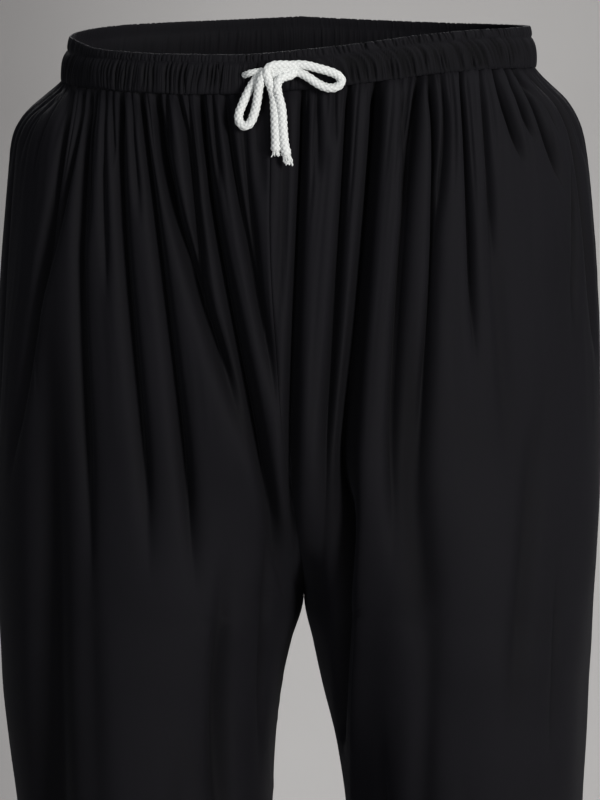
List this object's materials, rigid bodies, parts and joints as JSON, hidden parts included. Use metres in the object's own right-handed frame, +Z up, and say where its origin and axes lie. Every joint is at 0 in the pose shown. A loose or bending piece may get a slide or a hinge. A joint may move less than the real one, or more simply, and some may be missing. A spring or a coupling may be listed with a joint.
{
  "type": "palazzo pants",
  "caption": "Wide-legged black palazzo pants in their worn form, with a gathered elastic waistband and a white drawstring bow.",
  "frame": {"origin": "middle of the waist opening, level with the waistband's top edge at the centre front", "axes": "+Z up along the wearer, front towards -Y, the wearer's left leg at +X"},
  "size_m": [0.4649, 0.3351, 1.036],
  "materials": {
    "cloth": "matt woven rayon, black",
    "band": "matt woven rayon gathered over elastic, black",
    "cord": "braided cotton, white"
  },
  "bodies": {
    "root": {"waistband": "band", "front_right": "cloth", "front_left": "cloth", "back_right": "cloth", "back_left": "cloth", "drawstring_knot": "cord", "drawstring_lead_right": "cord", "drawstring_loop_right": "cord", "drawstring_loop_left": "cord", "drawstring_tail_right": "cord", "drawstring_tail_left": "cord"}
  },
  "joints": []
}
